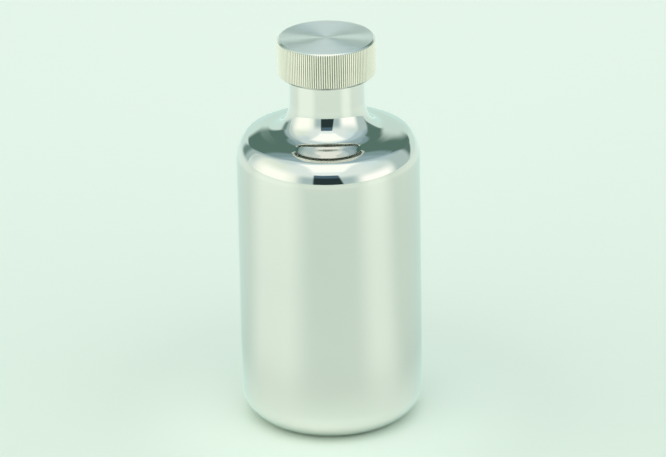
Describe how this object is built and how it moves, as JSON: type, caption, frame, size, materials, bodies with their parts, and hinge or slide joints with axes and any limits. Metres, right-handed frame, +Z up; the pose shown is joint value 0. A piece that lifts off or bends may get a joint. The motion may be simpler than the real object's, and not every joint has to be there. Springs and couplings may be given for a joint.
{
  "type": "water bottle",
  "caption": "Polished steel water bottle with a round shoulder and heel, a narrow neck and a knurled screw cap carrying a stopper that lifts without turning.",
  "frame": {"origin": "centre of the base ring, at table height", "axes": "+Z up along the bottle's axis, towards the cap"},
  "size_m": [0.09, 0.09, 0.1984],
  "materials": {
    "polished_steel": "mirror polished stainless steel",
    "turned_steel": "fine turned stainless steel",
    "knurled_steel": "satin stainless steel with a straight knurled side and a turned top",
    "spring_steel": "plain spring steel",
    "insert_plastic": "satin off-white polypropylene",
    "washer_plastic": "smooth white sliding plastic",
    "silicone": "satin translucent silicone, shown opaque"
  },
  "bodies": {
    "bottle": {"base_cup": "polished_steel", "body_tube": "polished_steel", "shoulder_and_neck": "polished_steel", "neck_collar": "turned_steel"},
    "stopper": {"stopper_plug": "turned_steel", "mouth_gasket": "silicone", "plug_o_ring": "silicone", "plug_cover": "turned_steel"},
    "cap": {"cap_shell": "knurled_steel", "threaded_insert": "insert_plastic", "snap_ring": "spring_steel", "swivel_stud": "turned_steel", "thrust_washer": "washer_plastic", "retaining_clip": "spring_steel"}
  },
  "joints": [
    {"name": "stopper_lift", "type": "slide", "parent": "bottle", "child": "stopper", "axis": [0, 0, 1], "range_m": [0, 0.0075]},
    {"name": "cap_turn", "type": "hinge", "parent": "stopper", "child": "cap", "pos_m": [0, 0, 0.1794], "axis": [0, 0, 1], "range_deg": [0, 900]}
  ],
  "couplings": [
    {"joint": "stopper_lift", "follows": "cap_turn", "m_per_rad": 0.00047746}
  ]
}
